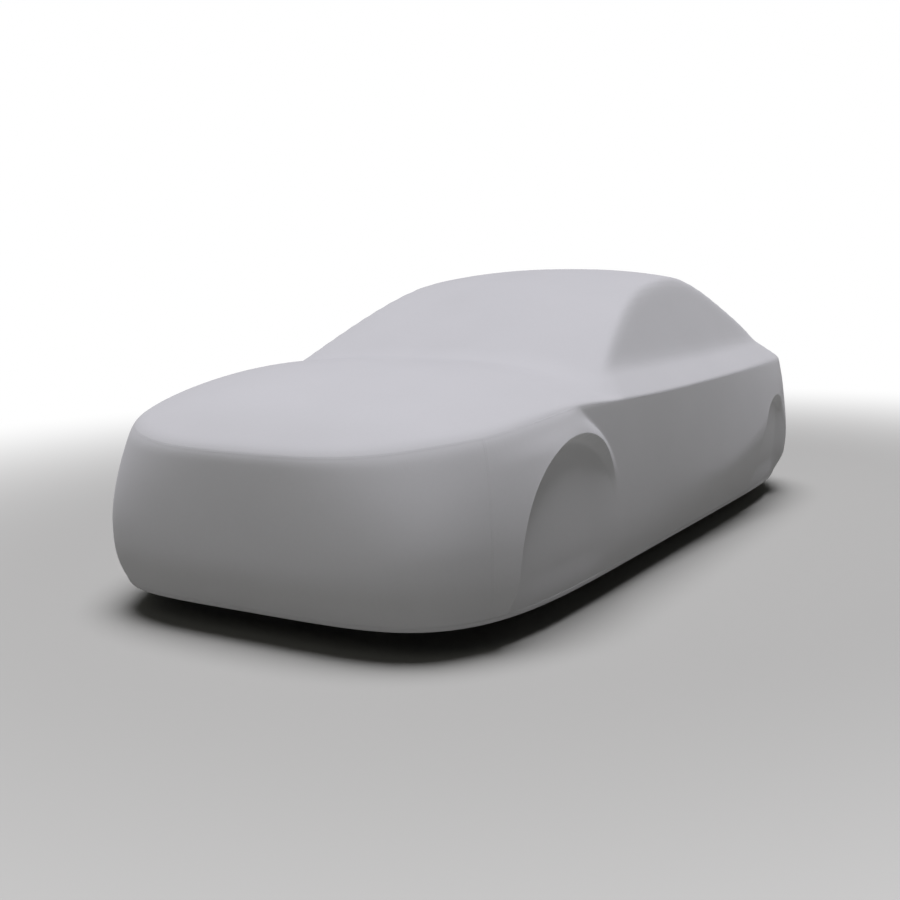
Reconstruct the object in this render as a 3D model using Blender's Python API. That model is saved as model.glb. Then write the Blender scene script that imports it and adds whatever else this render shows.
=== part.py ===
"""Fitted stretch cover: seven cloth panels in the shape in which they are held.

X runs across the cover, Y from its nose (-) to its tail (+), Z up. The origin is on the underside of
the roof, on the centre line, where the cover is held up. Heights below are first counted from the
ground and lengths from the middle of the front arches; the last step moves them to the origin.

The cloth is one smooth surface with two parameters. `u` runs round the plan outline, from the middle
of the nose (0) along one side to the middle of the tail (1). `t` runs up the cloth: from the hem (0)
up the skirt to the shoulder fold (1), then over the top to the centre line (2). Each panel is a
rectangle of that surface, given the thickness of the cloth.
"""

import bpy
import numpy as np

# ---- driving sizes, in metres -------------------------------------------------------------------
NOSE_Y = -0.81
TAIL_Y = 3.83
WIDEST_Y = 1.45
HALF_WIDTH = 0.92
# How square the plan outline is, across and along: ahead of WIDEST_Y at the belly and at the shoulder,
# where its corners are rounder, and behind it.
BELLY_POWERS = (4.5, 7.0)
SHOULDER_POWERS = (2.95, 6.05)
REAR_POWERS = (3.9, 7.0)

CLOTH = 0.002
HEM_THICK = 0.007  # the turned hem with its elastic
HEM_PROUD = 0.0025
SEAM_GAP = 0.0002  # each panel's edge stands this far back from the seam line

# The skirt leans in above its belly and tucks under below it, by these lengths.
BELLY = 0.41  # share of the skirt's height
LEAN = {"side": 0.02, "nose": 0.014, "tail": 0.10}
TUCK = {"side": 0.035, "nose": 0.065, "tail": 0.125}
LEAN_POWER = 1.7
TUCK_POWER = 2.8

# Along the cover: place, height of the hem, height of the shoulder fold, half width of the fold.
Y, HEM_Z, SHOULDER_Z, FOLD = range(4)
SECTIONS = np.array(
    [
        (-0.81, 0.111, 0.694, 0.070),
        (-0.60, 0.110, 0.742, 0.090),
        (-0.40, 0.109, 0.765, 0.073),
        (-0.20, 0.108, 0.793, 0.061),
        (0.10, 0.107, 0.821, 0.036),
        (0.50, 0.107, 0.811, 0.020),
        (0.95, 0.107, 0.804, 0.020),
        (2.00, 0.107, 0.810, 0.020),
        (3.00, 0.109, 0.827, 0.032),
        (3.83, 0.115, 0.823, 0.050),
    ]
)

# The decks ahead of and behind the cabin swell above the shoulder: (place along the cover, height).
CROWNS = ((NOSE_Y, 0.191), (0.30, 0.139), (1.50, 0.126), (3.20, 0.165))
CROWN_POWER = 2.8

# The cabin: a domed roof, two slopes and two sides, each joined to the next by a round edge.
# A slope passes through (y, z) on the centre line, rises by `rise` along Y and is bowed in plan.
# A side starts at the shoulder as a shelf of this width, and then rises more steeply.
ROOF = {"z": 1.352, "y": 2.13, "fall_front": 0.127, "fall_rear": 0.068, "fall_across": 0.148}
ROOF_POWER = 2.3
BOW_POWER = 2.3
FRONT_SLOPE = {"z": 0.95, "y": 0.53, "rise": 0.463, "bow": 0.344}
BACK_SLOPE = {"z": 0.96, "y": 3.405, "rise": -0.334, "bow": 0.552}
SHELF = {"rise": 0.85, "width": 0.13}
SIDE_SLOPE = {"rise": 2.2}
ROOF_ROUND = 0.10
SIDE_ROUND = 0.042
SHELF_ROUND = 0.03
FOOT_ROUND = 0.05  # where the cabin rises from the decks,
FOOT_FULL = 0.10  # from this far inside the shoulder, and ever less before it

# The arches: middle (y, z), radius, width of the lip's inner slope, how far the lip flares out, how
# deep the hollow inside it is at its nose side, how far both stand out at their tail side, and how
# wide the band between the lip and its ridge is.
ARCHES = (
    {
        "y": 0.045, "z": 0.293, "r": 0.432, "lip": 0.040,
        "flare": 0.045, "hollow": 0.014, "tail_flare": 0.0, "band": 0.042,
    },
    {
        "y": 2.90, "z": 0.220, "r": 0.415, "lip": 0.045,
        "flare": 0.006, "hollow": 0.024, "tail_flare": 0.030, "band": 0.50,
    },
)
FLARE_REACH = {"over": 0.18, "nose": 0.20}
# A lip's turn is its angle from straight up, in radians, + towards the tail.
NOSE_TURN = (-1.3, -0.3)  # The flare's reach goes from nose to over between these turns.
RIDGE_TURN = (-0.45, 0.12)  # Between these it goes over to a band that ends at a ridge. The band is as
RIDGE_RISE, RIDGE_FADE = 0.177, 0.12  # wide as the arch's own, and more by rise * exp(-turn / fade).
RIDGE_POWER = 1.5  # The push falls across the band by share ** power
RIDGE_ROUND = 0.006  # and ends in a round foot.
TAIL_TURN = (-0.25, 0.9)  # The lip loses this share of its flare between these turns,
TAIL_LOSS = 0.45
LIP_END_TURN = (0.45, 1.25)  # and goes over to the tail_flare between these.
HOLLOW_END = (0.3, 1.0)  # The hollow goes over to it between these shares of the radius.
# Ahead of the rear arch the side swells out to a crest, which rises towards the tail.
SWELL = 0.045
SWELL_START = (0.8, 2.4)  # The swell grows between these places
SWELL_END = (2.6, 3.5)  # and ends between these.
CREST = (0.34, 0.45)  # The crest's share of the skirt's height is low + rise * share ** power,
CREST_PLACES = (1.8, 3.2)  # for the share of the way between these places.
CREST_POWER = 1.5
CREST_ROUND = 0.25
# The relief is held to the side of the skirt: shares of the outline's width and of its height.
RELIEF_WIDTH = (0.86, 0.985)
RELIEF_ABOVE_HEM = (0.0, 0.2)
RELIEF_BELOW_SHOULDER = 0.86  # from here up it falls evenly to nothing at the shoulder,
RELIEF_ROUND = 0.3  # after a round start, as a share of that fall

# The lines that run up over the decks end on the centre line between these two places.
CENTRE_LINE = (NOSE_Y + 0.35, TAIL_Y - 0.30)

# The shoulder's rounding: means taken over this many steps, and it dies away by this many half widths.
FOLD_STEPS = 15
FOLD_END = 2.6

# ---- the grid of the solids ---------------------------------------------------------------------
# Columns round the plan: (u where the stretch ends, columns in it).
COLUMNS = ((0.130, 8), (0.164, 2), (0.322, 15), (0.640, 10), (0.810, 11), (0.850, 2), (1.0, 8))
FRONT_SEAM = sum(count for _, count in COLUMNS[:2])  # the side panel runs from this column
REAR_SEAM = sum(count for _, count in COLUMNS[:5])  # to this one,
CABIN_START = sum(count for _, count in COLUMNS[:3])  # and the cabin panel from this one
CABIN_END = sum(count for _, count in COLUMNS[:6])  # to this one
# Rows up the cloth; the first two bound the hem.
SKIRT_ROWS = (0.0, 0.018, 0.024, 0.12, 0.23, 0.34, 0.45, 0.55, 0.64, 0.72, 0.79, 0.85, 0.90, 0.95)
TOP_ROWS = (1.0, 1.05, 1.11, 1.17, 1.24, 1.32, 1.40, 1.50, 1.62, 1.80, 2.0)
SHOULDER_ROW = len(SKIRT_ROWS)
# Crossings closer to an arch's lip than PULL_WHOLE move onto it, those past PULL_END not at all.
PULL_WHOLE = 0.015
PULL_END = 0.042
PULL_ABOVE_HEM = (0.07, 0.2)
PULL_BELOW_SHOULDER = (0.9, 0.99)
PULL_ROUNDS = 3
SMALL_STEP = 1e-4  # of u or t, to measure the surface's slope

SMOOTH_BELOW = np.radians(50)  # edges that turn less than this are shaded smooth
COLOUR = (0.39, 0.39, 0.39, 1.0)
ROUGHNESS = 0.85

# ---- the surface --------------------------------------------------------------------------------


def ease(start, end, value):
    """0 before start, 1 after end, and a smooth S between them."""
    share = np.clip((value - start) / (end - start), 0, 1)
    return share * share * (3 - 2 * share)


def lower_of(a, b, round_edge):
    """The lower of two heights, with a round edge where they cross."""
    share = np.clip(0.5 + 0.5 * (b - a) / round_edge, 0, 1)
    return b * (1 - share) + a * share - round_edge * share * (1 - share)


def upper_of(a, b, round_edge):
    """The higher of two heights, with a round edge where they cross."""
    return -lower_of(-a, -b, round_edge)


def along(column, y):
    """A column of SECTIONS at y: a cubic through its rows, with their neighbours' slope at each."""
    places = SECTIONS[:, Y]
    values = SECTIONS[:, column]
    slopes = np.gradient(values, places)
    y = np.clip(y, places[0], places[-1])
    k = np.clip(np.searchsorted(places, y, side="right") - 1, 0, len(places) - 2)
    span = places[k + 1] - places[k]
    s = (y - places[k]) / span
    start = (1 + 2 * s) * (1 - s) ** 2 * values[k] + s * (1 - s) ** 2 * span * slopes[k]
    end = s * s * (3 - 2 * s) * values[k + 1] + s * s * (s - 1) * span * slopes[k + 1]
    return start + end


def quarter_pair(front, rear, steps=2001):
    """The plan outline at unit size: two quarter superellipses that meet at WIDEST_Y."""
    angle = np.linspace(0, np.pi / 2, steps)
    x = np.sin(angle) ** (2 / front[0])
    y = -np.cos(angle) ** (2 / front[1])
    x = np.append(x, np.cos(angle[1:]) ** (2 / rear[0]))
    y = np.append(y, np.sin(angle[1:]) ** (2 / rear[1]))
    return x, y


def stretch(unit_y, nose_y, tail_y):
    """Unit outline, -1 to 1, to places along the cover."""
    return WIDEST_Y + unit_y * np.where(unit_y < 0, WIDEST_Y - nose_y, tail_y - WIDEST_Y)


BELLY_OUTLINE = quarter_pair(BELLY_POWERS, REAR_POWERS)
SHOULDER_OUTLINE = quarter_pair(SHOULDER_POWERS, REAR_POWERS)


def share_of_length(outline_x, outline_y):
    """How far round each point of an outline is, from 0 to 1."""
    length = np.hypot(np.diff(outline_x * HALF_WIDTH), np.diff(stretch(outline_y, NOSE_Y, TAIL_Y)))
    length = np.append(0, np.cumsum(length))
    return length / length[-1]


OUTLINE_SHARE = share_of_length(*BELLY_OUTLINE)


def outline(u, lean=0.0):
    """The unit outline's x and y at the share u of its length; lean is 0 at the belly, 1 at the shoulder."""
    low = [np.interp(u, OUTLINE_SHARE, column) for column in BELLY_OUTLINE]
    high = [np.interp(u, OUTLINE_SHARE, column) for column in SHOULDER_OUTLINE]
    return [a + (b - a) * lean for a, b in zip(low, high)]


def lean_at(v):
    """The share of the lean at the share v of the skirt's height."""
    return np.clip((v - BELLY) / (1 - BELLY), 0, 1) ** LEAN_POWER


def inset(v, where):
    """How far the skirt stands inside its widest outline, at the share v of its height."""
    below = np.clip((BELLY - v) / BELLY, 0, 1) ** TUCK_POWER
    return TUCK[where] * below + LEAN[where] * lean_at(v)


def arch_relief(y, z):
    """How far the arches push the skirt's side out: a lip that fades away, a shallow hollow inside."""
    push = 0
    for arch in ARCHES:
        behind = y - arch["y"]
        above = np.clip(z - arch["z"], 0, None)
        beyond = np.hypot(behind, above) - arch["r"]
        turn = np.arctan2(behind, above)
        facing = ease(*TAIL_TURN, turn)
        lip = arch["flare"] * (1 - TAIL_LOSS * facing)
        lip = lip + (arch["tail_flare"] - lip) * ease(*LIP_END_TURN, turn)
        reach = FLARE_REACH["nose"]
        reach = reach + (FLARE_REACH["over"] - reach) * ease(*NOSE_TURN, turn)
        outside = np.clip(beyond, 0, None)
        soft = np.exp(-outside / reach)
        band = arch["band"] + RIDGE_RISE * np.exp(-turn / RIDGE_FADE)
        ridged = upper_of(1 - (outside / band) ** RIDGE_POWER, 0 * band, RIDGE_ROUND / band)
        flare = lip * (soft + (ridged - soft) * ease(*RIDGE_TURN, turn))
        rise = ease(-arch["lip"], 0, beyond)
        tail_share = ease(*HOLLOW_END, behind / arch["r"])
        inside = arch["tail_flare"] * tail_share - arch["hollow"] * (1 - tail_share)
        push = push + np.where(beyond > 0, flare, lip * rise + inside * (1 - rise))
    return push


def rear_swell(y, v):
    """How far the side swells out ahead of the rear arch: most on its crest, 0 at hem and shoulder."""
    share = np.clip((y - CREST_PLACES[0]) / (CREST_PLACES[1] - CREST_PLACES[0]), 0, 1)
    crest = CREST[0] + CREST[1] * share**CREST_POWER
    amount = SWELL * ease(*SWELL_START, y) * (1 - ease(*SWELL_END, y))
    return amount * np.clip(lower_of((1 - v) / (1 - crest), v / crest, CREST_ROUND), 0, None)


def skirt(u, v):
    """The skirt: the plan outline, inset by its height, from the hem up to the shoulder."""
    unit_x, unit_y = outline(u, lean_at(v))
    x = unit_x * (HALF_WIDTH - inset(v, "side"))
    y = stretch(unit_y, NOSE_Y + inset(v, "nose"), TAIL_Y - inset(v, "tail"))
    hem = along(HEM_Z, y)
    return x, y, hem + (along(SHOULDER_Z, y) - hem) * v


def inside_shoulder(x, y):
    """0 at the middle of the deck and 1 on the shoulder, by the outline's own formula."""
    width = HALF_WIDTH - LEAN["side"]
    ahead = (WIDEST_Y - y) / (WIDEST_Y - NOSE_Y - LEAN["nose"])
    behind = (y - WIDEST_Y) / (TAIL_Y - WIDEST_Y - LEAN["tail"])
    across = np.abs(x) / width
    front = across ** SHOULDER_POWERS[0] + np.clip(ahead, 0, None) ** SHOULDER_POWERS[1]
    rear = across ** REAR_POWERS[0] + np.clip(behind, 0, None) ** REAR_POWERS[1]
    front = front ** (1 / SHOULDER_POWERS[0])
    rear = rear ** (1 / REAR_POWERS[0])
    return np.clip(np.where(y < WIDEST_Y, front, rear), 0, 1)


def inside_shoulder_by(x, y):
    """How far a place is inside the shoulder, in metres."""
    return (HALF_WIDTH - LEAN["side"]) * (1 - inside_shoulder(x, y))


def deck_height(x, y):
    """The shoulder's height, and a crown that is whole on the centre line and 0 at the shoulder."""
    crown = CROWNS[0][1]
    for (start, low), (end, high) in zip(CROWNS, CROWNS[1:]):
        crown = crown + (high - low) * ease(start, end, y)
    return along(SHOULDER_Z, y) + crown * (1 - inside_shoulder(x, y) ** CROWN_POWER)


def slope_height(slope, x, y):
    """A plane that rises along Y and falls away to both sides."""
    bow = slope["bow"] * np.abs(x) ** BOW_POWER
    return slope["z"] + slope["rise"] * (y - slope["y"]) - abs(slope["rise"]) * bow


def cabin_height(x, y):
    """The lowest of the roof, the two slopes and the side slope, with round edges between them."""
    half = np.abs(x)
    from_top = y - ROOF["y"]
    fall = np.where(from_top < 0, ROOF["fall_front"], ROOF["fall_rear"])
    roof = ROOF["z"] - fall * from_top**2 - ROOF["fall_across"] * half**ROOF_POWER
    inside = inside_shoulder_by(x, y)
    shoulder = along(SHOULDER_Z, y)
    shelf = shoulder + SHELF["rise"] * inside
    side = shoulder + SHELF["rise"] * SHELF["width"] + SIDE_SLOPE["rise"] * (inside - SHELF["width"])
    side = upper_of(side, shelf, SHELF_ROUND)
    height = lower_of(roof, slope_height(FRONT_SLOPE, x, y), ROOF_ROUND)
    height = lower_of(height, slope_height(BACK_SLOPE, x, y), ROOF_ROUND)
    return lower_of(height, side, SIDE_ROUND)


def centre_line_y(u):
    """Where the line of one u meets the centre line."""
    start, end = CENTRE_LINE
    return start + (end - start) * u


def top(u, w):
    """The top: straight across in plan from the shoulder (w 0) to the centre line (w 1)."""
    unit_x, unit_y = outline(u, 1.0)
    edge_y = stretch(unit_y, NOSE_Y + LEAN["nose"], TAIL_Y - LEAN["tail"])
    x = unit_x * (HALF_WIDTH - LEAN["side"]) * (1 - w)
    y = edge_y * (1 - w) + centre_line_y(u) * w
    fold = FOOT_ROUND * np.clip(inside_shoulder_by(x, y) / FOOT_FULL, 0.01, 1)
    return x, y, upper_of(deck_height(x, y), cabin_height(x, y), fold)


def sharp_surface(u, t):
    """Skirt and top, which meet in a sharp fold."""
    below = skirt(u, np.clip(t, 0, 1))
    above = top(u, np.clip(t - 1, 0, 1))
    return np.array([np.where(t < 1, low, high) for low, high in zip(below, above)])


def surface(u, t):
    """The cloth's outer face. Near the shoulder it is the mean of the sharp surface over a short
    way up and down, which turns the sharp fold into a round one of that width."""
    u, t = np.broadcast_arrays(u, t)
    unit_x, unit_y = outline(u)
    y = stretch(unit_y, NOSE_Y, TAIL_Y)
    skirt_length = along(SHOULDER_Z, y) - along(HEM_Z, y)
    top_length = np.hypot(unit_x * HALF_WIDTH, y - centre_line_y(u))
    from_fold = (t - 1) * np.where(t < 1, skirt_length, top_length)
    reach = along(FOLD, y)
    reach = reach * (1 - ease(1.0, FOLD_END, np.abs(from_fold) / reach))
    steps = np.linspace(-1, 1, FOLD_STEPS + 2)[1:-1]
    weights = np.cos(steps * np.pi / 2) ** 2
    points = 0
    for step, weight in zip(steps, weights / weights.sum()):
        place = from_fold + step * reach
        points = points + weight * sharp_surface(u, 1 + place / np.where(place < 0, skirt_length, top_length))
    x, y, z = points
    on_width = ease(*RELIEF_WIDTH, unit_x)
    on_side = on_width * ease(*RELIEF_ABOVE_HEM, t)
    falling = np.clip((1 - t) / (1 - RELIEF_BELOW_SHOULDER), 0, None)
    on_side = on_side * lower_of(1, falling, RELIEF_ROUND)
    x = x + on_side * arch_relief(y, z) + on_width * rear_swell(y, np.clip(t, 0, 1))
    return np.array([x, y, z])


# ---- the grid -----------------------------------------------------------------------------------


def column_places():
    places = [np.zeros(1)]
    for end, count in COLUMNS:
        places.append(np.linspace(places[-1][-1], end, count + 1)[1:])
    return np.concatenate(places)


def draw_to_arches(u, t):
    """Moves the grid's crossings that lie near an arch's lip onto it, so that the lip is a clean arc."""
    for arch in ARCHES:
        for _ in range(PULL_ROUNDS):
            _, y, z = surface(u, t)
            rise = np.clip(z - arch["z"], 0, None)
            out = np.hypot(y - arch["y"], rise)
            pull = np.clip((PULL_END - np.abs(out - arch["r"])) / (PULL_END - PULL_WHOLE), 0, 1)
            pull = pull * ease(*PULL_ABOVE_HEM, t) * (1 - ease(*PULL_BELOW_SHOULDER, t))
            pull[:, : FRONT_SEAM + 1] = 0
            pull[:, REAR_SEAM:] = 0
            share = pull * (arch["r"] / np.maximum(out, PULL_END) - 1)
            slope_y = (surface(u + SMALL_STEP, t)[1] - y) / SMALL_STEP
            slope_z = (surface(u, t + SMALL_STEP)[2] - z) / SMALL_STEP
            u = u + share * (y - arch["y"]) / np.where(pull > 0, slope_y, 1)
            t = t + share * rise / np.where(pull > 0, slope_z, 1)
    return u, t


def cell_middles(grid):
    return (grid[1:, 1:] + grid[1:, :-1] + grid[:-1, 1:] + grid[:-1, :-1]) / 4


def whole_cloth():
    """Outer points, outward normals and places in the middle of each cell, for one half: (row, column)."""
    u, t = np.meshgrid(column_places(), np.array(SKIRT_ROWS + TOP_ROWS))
    u, t = draw_to_arches(u, t)
    points = np.moveaxis(surface(u, t), 0, -1)
    centres = np.moveaxis(surface(cell_middles(u), cell_middles(t)), 0, -1)
    points[:, [0, -1], 0] = 0
    points[-1, :, 0] = 0
    return points, normals_of(points), centres


def normals_of(points):
    """The mean normal of the cells round each crossing, with the mirrored half counted in."""
    rows, columns = points.shape[:2]
    across = points[1:, 1:] - points[:-1, :-1]
    back = points[1:, :-1] - points[:-1, 1:]
    cells = np.cross(across, back)
    total = np.zeros_like(points)
    for row, column in ((0, 0), (0, 1), (1, 0), (1, 1)):
        total[row : row + rows - 1, column : column + columns - 1] += cells
    total[:, [0, -1], 0] = 0
    total[-1, :, 0] = 0
    return total / np.linalg.norm(total, axis=-1, keepdims=True)


def half_panel(cloth, rows, columns):
    """One panel's own grids: outer points, inner points and the middle of each cell."""
    points, normals, centres = cloth
    outer = points[rows[0] : rows[1] + 1, columns[0] : columns[1] + 1].copy()
    normal = normals[rows[0] : rows[1] + 1, columns[0] : columns[1] + 1]
    thick = np.full(outer.shape[:2] + (1,), CLOTH)
    draw_back = np.zeros_like(outer)
    if rows[0] == 0:
        thick[:2] = HEM_THICK
        outer[:2] += HEM_PROUD * normal[:2]
        draw_back[-1] += towards(outer[-1], outer[-2])
    else:
        draw_back[0] += towards(outer[0], outer[1])
    if columns[0] > 0:
        draw_back[:, 0] += towards(outer[:, 0], outer[:, 1])
    if columns[1] < points.shape[1] - 1:
        draw_back[:, -1] += towards(outer[:, -1], outer[:, -2])
    outer = outer + SEAM_GAP * draw_back
    return outer, outer - thick * normal, centres[rows[0] : rows[1], columns[0] : columns[1]]


def towards(start, end):
    """Unit steps from start to end."""
    return (end - start) / np.linalg.norm(end - start, axis=-1, keepdims=True)


def split_cells(outer, centres):
    """Two triangles for each cell, along the diagonal whose middle lies nearer the true surface."""
    rows, columns = outer.shape[:2]
    index = np.arange(rows * columns).reshape(rows, columns)
    a, b, c, d = index[:-1, :-1], index[:-1, 1:], index[1:, 1:], index[1:, :-1]
    rising = np.linalg.norm((outer[:-1, :-1] + outer[1:, 1:]) / 2 - centres, axis=-1)
    falling = np.linalg.norm((outer[:-1, 1:] + outer[1:, :-1]) / 2 - centres, axis=-1)
    one = np.where(rising < falling, [a, b, c], [a, b, d])
    two = np.where(rising < falling, [a, c, d], [b, c, d])
    return np.concatenate([one.reshape(3, -1).T, two.reshape(3, -1).T])


def weld(points, faces):
    """Joins points that coincide, and drops the faces that this closes up."""
    key = np.round(points * 1e6).astype(np.int64)
    _, first, index = np.unique(key, axis=0, return_index=True, return_inverse=True)
    faces = index.reshape(-1)[faces]
    whole = (faces[:, 0] != faces[:, 1]) & (faces[:, 1] != faces[:, 2]) & (faces[:, 2] != faces[:, 0])
    return points[first], faces[whole]


def rim(faces):
    """The edges that only one face has, in that face's direction."""
    edges = np.concatenate([faces[:, [0, 1]], faces[:, [1, 2]], faces[:, [2, 0]]])
    ways, count = np.unique(np.sort(edges, axis=1), axis=0, return_counts=True)
    single = {tuple(edge) for edge in ways[count == 1].tolist()}
    return np.array([edge for edge in edges.tolist() if tuple(sorted(edge)) in single])


def sheet(outer, inner, faces):
    """Closes a sheet: its outer face, its inner face turned round, and a strip along its edge."""
    points = np.concatenate([outer, inner])
    joined, welded = weld(points, np.concatenate([faces, faces[:, ::-1] + len(outer)]))
    front = welded[: len(welded) // 2]
    pair = dict(zip(front.reshape(-1).tolist(), welded[len(front) :, ::-1].reshape(-1).tolist()))
    strip = []
    for start, end in rim(front).tolist():
        strip.append((end, start, pair[start]))
        strip.append((end, pair[start], pair[end]))
    return joined, np.concatenate([welded, np.array(strip)])


def cloth_material(name):
    material = bpy.data.materials.new(name)
    material.use_nodes = True
    shader = material.node_tree.nodes["Principled BSDF"]
    shader.inputs["Base Color"].default_value = COLOUR
    shader.inputs["Roughness"].default_value = ROUGHNESS
    shader.inputs["Metallic"].default_value = 0.0
    return material


def make_panel(name, cloth, rows, columns, sides, parent):
    """A panel as one closed body; sides has 1 for the +X half and -1 for its mirror image."""
    outer, inner, centres = half_panel(cloth, rows, columns)
    faces = split_cells(outer, centres)
    outer = outer.reshape(-1, 3)
    inner = inner.reshape(-1, 3)
    halves = []
    for side in sides:
        mirror = np.array([side, 1, 1])
        halves.append((outer * mirror, inner * mirror, faces[:, ::side]))
    faces = np.concatenate([half[2] + k * len(outer) for k, half in enumerate(halves)])
    points, faces = sheet(
        np.concatenate([half[0] for half in halves]), np.concatenate([half[1] for half in halves]), faces
    )
    held_at = np.array([0.0, ROOF["y"], ROOF["z"] - CLOTH])
    mesh = bpy.data.meshes.new(name)
    mesh.from_pydata((points - held_at).tolist(), [], faces.tolist())
    mesh.update()
    mesh.shade_smooth()
    mesh.set_sharp_from_angle(angle=SMOOTH_BELOW)
    mesh.materials.append(cloth_material(name + "_cloth"))
    panel = bpy.data.objects.new(name, mesh)
    panel.parent = parent
    bpy.context.scene.collection.objects.link(panel)


def build():
    for old in list(bpy.data.objects):
        bpy.data.objects.remove(old)
    roof_point = bpy.data.objects.new("held_under_roof", None)
    bpy.context.scene.collection.objects.link(roof_point)
    cloth = whole_cloth()
    last_row = len(SKIRT_ROWS + TOP_ROWS) - 1
    last_column = len(column_places()) - 1
    skirt_rows = (0, SHOULDER_ROW)
    side_columns = (FRONT_SEAM, REAR_SEAM)
    top_rows = (SHOULDER_ROW, last_row)
    make_panel("front_deck_panel", cloth, top_rows, (0, CABIN_START), (1, -1), roof_point)
    make_panel("cabin_panel", cloth, top_rows, (CABIN_START, CABIN_END), (1, -1), roof_point)
    make_panel("rear_deck_panel", cloth, top_rows, (CABIN_END, last_column), (1, -1), roof_point)
    make_panel("front_panel", cloth, skirt_rows, (0, FRONT_SEAM), (1, -1), roof_point)
    make_panel("rear_panel", cloth, skirt_rows, (REAR_SEAM, last_column), (1, -1), roof_point)
    make_panel("side_panel_left", cloth, skirt_rows, side_columns, (1,), roof_point)
    make_panel("side_panel_right", cloth, skirt_rows, side_columns, (-1,), roof_point)


build()
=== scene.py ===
# %% [markdown]
# # A fitted cover of stretch knit
#
# This script dresses the imported solids of a fitted cover: five panels of light grey stretch knit, sewn
# together along the shoulder fold and up the skirt, with a turned hem that has elastic in it. The first
# lines load the imported frame. The finished cloth has to stay within it.

# %% Load the imported frame
import math

import bpy
import numpy as np
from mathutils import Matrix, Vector


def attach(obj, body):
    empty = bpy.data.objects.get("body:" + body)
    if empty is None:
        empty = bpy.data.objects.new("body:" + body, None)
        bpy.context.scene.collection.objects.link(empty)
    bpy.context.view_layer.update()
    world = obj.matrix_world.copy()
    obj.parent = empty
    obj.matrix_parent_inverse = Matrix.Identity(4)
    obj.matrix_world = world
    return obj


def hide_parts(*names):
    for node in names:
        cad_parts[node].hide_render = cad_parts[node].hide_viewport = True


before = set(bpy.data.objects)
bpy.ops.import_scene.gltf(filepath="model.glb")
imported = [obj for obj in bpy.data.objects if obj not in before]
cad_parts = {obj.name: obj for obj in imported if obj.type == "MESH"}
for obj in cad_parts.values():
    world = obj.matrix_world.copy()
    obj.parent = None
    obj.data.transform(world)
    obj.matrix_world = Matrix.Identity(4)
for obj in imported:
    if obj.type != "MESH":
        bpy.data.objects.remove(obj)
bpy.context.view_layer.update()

print("packed nodes:", sorted(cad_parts))

# %% [markdown]
# ## The camera
#
# A camera is a pinhole with a film behind it, so the picture fixes it: long straight edges that run to
# the same far point give its tilt and turn, and the object's size in the frame gives its distance. The
# eye here is a little under the height of the roof, ahead of the nose and off to the left side.

# %% Camera
GROUND_Z = -1.35  # the floor, below the origin under the roof
EYE = (2.606, -6.032, -0.0785)
TILT, TURN = 81.8665, 29.5  # degrees up from straight down, and round to the left
FILM, LENS = 36.0, 46.6  # mm
FARTHEST = 200.0  # metres that the camera sees


def make_camera():
    """A camera of 46.6 mm on a 36 mm square film, 8.1 degrees down and 29.5 degrees to the left."""
    data = bpy.data.cameras.new("camera")
    data.sensor_width = FILM
    data.lens = LENS
    data.clip_end = FARTHEST
    camera = bpy.data.objects.new("camera", data)
    camera.location = EYE
    camera.rotation_euler = (math.radians(TILT), 0.0, math.radians(TURN))
    bpy.context.scene.collection.objects.link(camera)
    return camera


bpy.context.scene.camera = make_camera()
print("camera at", tuple(round(v, 3) for v in bpy.context.scene.camera.location))

# %% [markdown]
# ## The form as numbers
#
# A tailor works from a few measured sections and joins them. The same is done here: one short
# table gives the hem's height, the shoulder's height and the softness of the shoulder fold at ten places
# along the cover, and everything between them is a smooth curve. Lengths are counted from the middle of
# the front arch and heights from the ground, as they would be measured on the real one.

# %% Sizes of the cover, in metres
NOSE_Y, TAIL_Y, WIDEST_Y = -0.81, 3.83, 1.45
HALF_WIDTH = 0.92
# How square the plan outline is, across and along: ahead of WIDEST_Y at the belly and at the shoulder,
# where its corners are rounder, and behind it.
BELLY_POWERS = (4.5, 7.0)
SHOULDER_POWERS = (2.95, 6.05)
REAR_POWERS = (3.9, 7.0)

BELLY = 0.41  # the share of the skirt's height where it stands out most
LEAN = {"side": 0.02, "nose": 0.014, "tail": 0.10}  # how far it leans in above that,
TUCK = {"side": 0.035, "nose": 0.065, "tail": 0.125}  # and how far it tucks under below it
LEAN_POWER, TUCK_POWER = 1.7, 2.8

# Along the cover: place, height of the hem, height of the shoulder fold, half width of the fold.
Y, HEM_Z, SHOULDER_Z, FOLD = range(4)
SECTIONS = np.array(
    [
        (-0.81, 0.111, 0.694, 0.070),
        (-0.60, 0.110, 0.742, 0.090),
        (-0.40, 0.109, 0.765, 0.073),
        (-0.20, 0.108, 0.793, 0.061),
        (0.10, 0.107, 0.821, 0.036),
        (0.50, 0.107, 0.811, 0.020),
        (0.95, 0.107, 0.804, 0.020),
        (2.00, 0.107, 0.810, 0.020),
        (3.00, 0.109, 0.827, 0.032),
        (3.83, 0.115, 0.823, 0.050),
    ]
)


def ease(start, end, value):
    """0 before start, 1 after end, and a smooth S between them: 3s^2 - 2s^3."""
    share = np.clip((value - start) / (end - start), 0, 1)
    return share * share * (3 - 2 * share)


def lower_of(a, b, round_edge):
    """The lower of two heights, with a round edge of about that width where they cross."""
    share = np.clip(0.5 + 0.5 * (b - a) / round_edge, 0, 1)
    return b * (1 - share) + a * share - round_edge * share * (1 - share)


def upper_of(a, b, round_edge):
    """The higher of two heights: the lower one, turned upside down."""
    return -lower_of(-a, -b, round_edge)


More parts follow.
